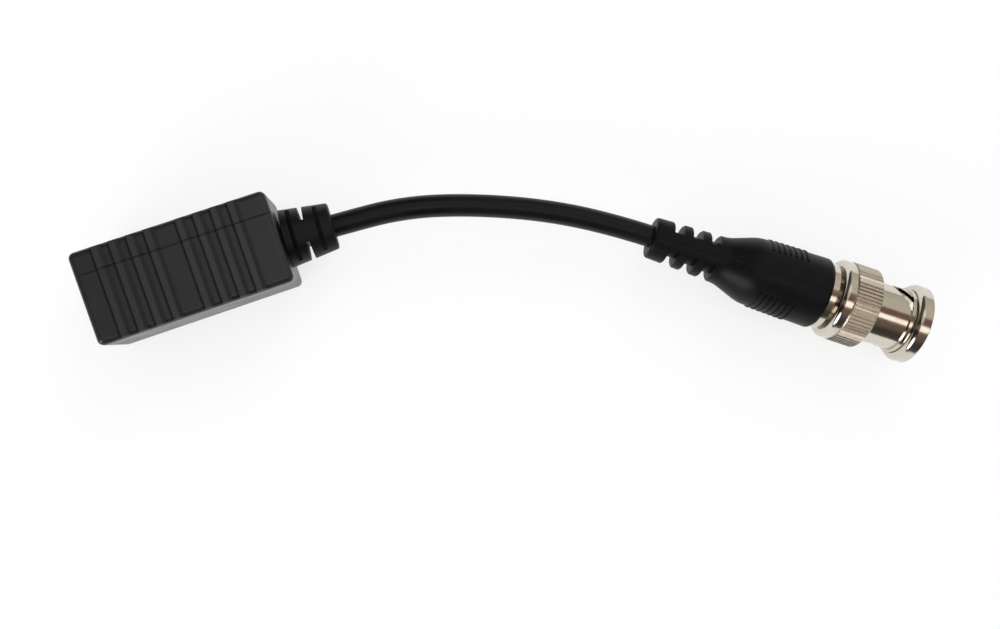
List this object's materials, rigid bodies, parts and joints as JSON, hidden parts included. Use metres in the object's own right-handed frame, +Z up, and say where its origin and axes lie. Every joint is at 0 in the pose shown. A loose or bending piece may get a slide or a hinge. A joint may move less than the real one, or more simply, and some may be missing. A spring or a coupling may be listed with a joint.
{
  "type": "video balun with cable and bayonet plug",
  "caption": "Short dark cable with a moulded bayonet video plug on one end and a small ribbed two-shell housing with a modular wire jack on the other.",
  "frame": {"origin": "middle of the part's outline seen from above, on the surface that it lies on", "axes": "+X from the jack's end towards the plug, along the housing; +Y towards the housing's cover; +Z up from the surface that the part lies on"},
  "size_m": [0.1361, 0.0633, 0.0176],
  "materials": {
    "housing_plastic": "fine matte moulded plastic",
    "boot_plastic": "semi-matte soft moulded plastic",
    "cable_plastic": "smooth semi-matte jacket",
    "nickel": "bright turned nickel plating",
    "jack_plastic": "smooth moulded plastic",
    "contact_gold": "gold plated",
    "board": "solder mask",
    "ferrite": "sintered, matte",
    "copper": "enamelled or bare wire",
    "chip_body": "moulded chip parts",
    "tin": "tinned metal",
    "insulation": "white insulation",
    "gasket_rubber": "soft rubber"
  },
  "bodies": {
    "root": {"housing_base": "housing_plastic", "housing_cover": "housing_plastic", "housing_strain_relief": "boot_plastic", "cable_jacket": "cable_plastic", "plug_boot": "boot_plastic", "plug_body": "nickel", "jack_body": "jack_plastic", "jack_contacts": "contact_gold", "circuit_board": "board", "balun_core": "ferrite", "line_winding": "copper", "coax_winding": "copper", "surge_suppressor": "chip_body", "filter_capacitors": "chip_body", "line_resistors": "chip_body", "solder_posts": "tin", "housing_dielectric": "insulation", "housing_braid": "copper", "housing_conductor": "copper", "plug_dielectric": "insulation", "plug_braid": "copper", "plug_conductor": "copper", "crimp_ferrule": "tin", "contact_insulator": "insulation", "centre_pin": "contact_gold", "outer_contact": "nickel", "gasket_ring": "gasket_rubber", "wave_washer": "tin"},
    "nut_carrier": {"thrust_washer": "tin"},
    "nut": {"coupling_nut": "nickel"}
  },
  "joints": [
    {"name": "nut_draw", "type": "slide", "parent": "root", "child": "nut_carrier", "axis": [0.7976, -0.6032, 0], "range_m": [0, 0.0008], "stiffness_N_per_m": 3000, "springref_m": -0.0005, "deforming": ["wave_washer"]},
    {"name": "nut_turn", "type": "hinge", "parent": "nut_carrier", "child": "nut", "pos_m": [0.05631, -0.02037, 0.00725], "axis": [0.7976, -0.6032, 0], "continuous": true}
  ]
}
